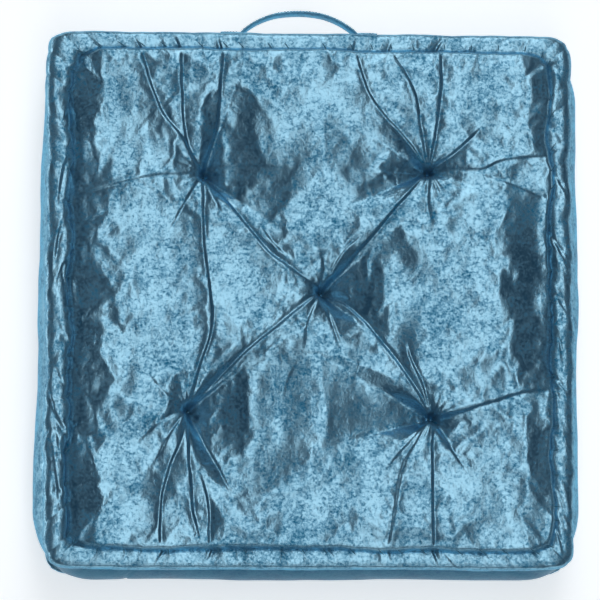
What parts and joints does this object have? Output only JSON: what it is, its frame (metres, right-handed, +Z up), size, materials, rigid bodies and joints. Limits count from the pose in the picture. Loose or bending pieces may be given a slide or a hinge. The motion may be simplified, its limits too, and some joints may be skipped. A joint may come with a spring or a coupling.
{
  "type": "floor cushion",
  "caption": "Square tufted floor cushion in crushed velvet, with stuffed rolled edges top and bottom, full side walls and a fabric carrying handle.",
  "frame": {"origin": "on the floor, under the middle of the whole footprint, handle included", "axes": "+Z up, out of the sitting face; +Y from the middle towards the wall that has the handle"},
  "size_m": [0.6, 0.6226, 0.1146],
  "materials": {
    "velvet": "crushed velvet, teal blue, blotched light and dark by the lie of the pile",
    "band": "folded band of the same velvet",
    "thread": "matching sewing thread",
    "twine": "waxed tufting twine",
    "fibre": "white polyester fibre"
  },
  "bodies": {
    "cushion": {"top_panel": "velvet", "bottom_panel": "velvet", "wall_panel_front": "velvet", "wall_panel_right": "velvet", "wall_panel_back": "velvet", "wall_panel_left": "velvet", "top_roll_stuffing": "fibre", "bottom_roll_stuffing": "fibre", "fibre_filling": "fibre", "top_roll_stitching": "thread", "bottom_roll_stitching": "thread", "tuft_twine_centre": "twine", "tuft_twine_back_left": "twine", "tuft_twine_back_right": "twine", "tuft_twine_front_left": "twine", "tuft_twine_front_right": "twine", "handle_end_left": "band", "handle_end_right": "band", "handle_stitching_left": "thread", "handle_stitching_right": "thread"},
    "handle": {"handle_loop": "band"}
  },
  "joints": [
    {"name": "handle_swing", "type": "hinge", "parent": "cushion", "child": "handle", "pos_m": [-0.01, 0.2887, 0.053], "axis": [1, 0, 0], "range_deg": [-40, 40]}
  ]
}
